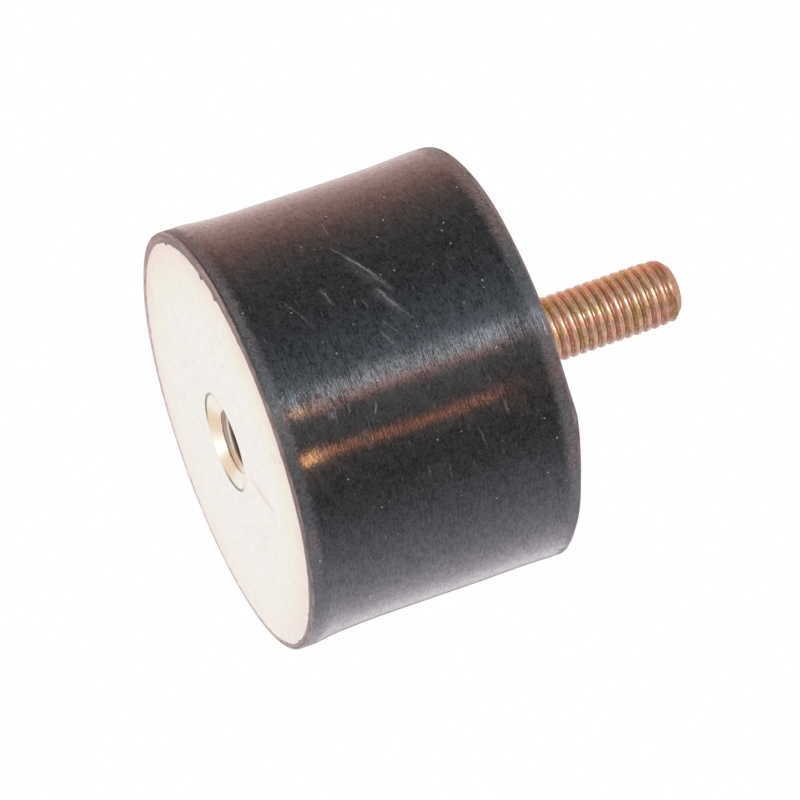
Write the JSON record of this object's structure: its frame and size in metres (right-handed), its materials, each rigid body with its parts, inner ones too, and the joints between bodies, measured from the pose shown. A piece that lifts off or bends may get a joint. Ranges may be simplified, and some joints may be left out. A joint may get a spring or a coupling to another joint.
{
  "type": "rubber buffer",
  "caption": "Cylindrical rubber-to-metal buffer with an end plate bonded at each end, a threaded stud on one and a blind threaded bush in the other.",
  "frame": {"origin": "centre of the lower (female) plate's outer face, which the buffer stands on", "axes": "+Z along the buffer's axis, out through the stud; the part is round, so X and Y are any two directions across it"},
  "size_m": [0.075, 0.075, 0.085],
  "materials": {
    "rubber": "moulded black rubber with a dull satin skin, dusty and lightly scratched",
    "zinc_plate": "pale zinc-plated steel with a faint iridescent passivation",
    "zinc_bush": "zinc-plated steel, turned, slightly golden",
    "yellow_zinc": "yellow-passivated zinc on steel, copper gold"
  },
  "bodies": {
    "root": {"rubber_body": "rubber", "female_plate": "zinc_plate", "male_plate": "zinc_plate", "threaded_bush": "zinc_bush", "threaded_stud": "yellow_zinc"}
  },
  "joints": []
}
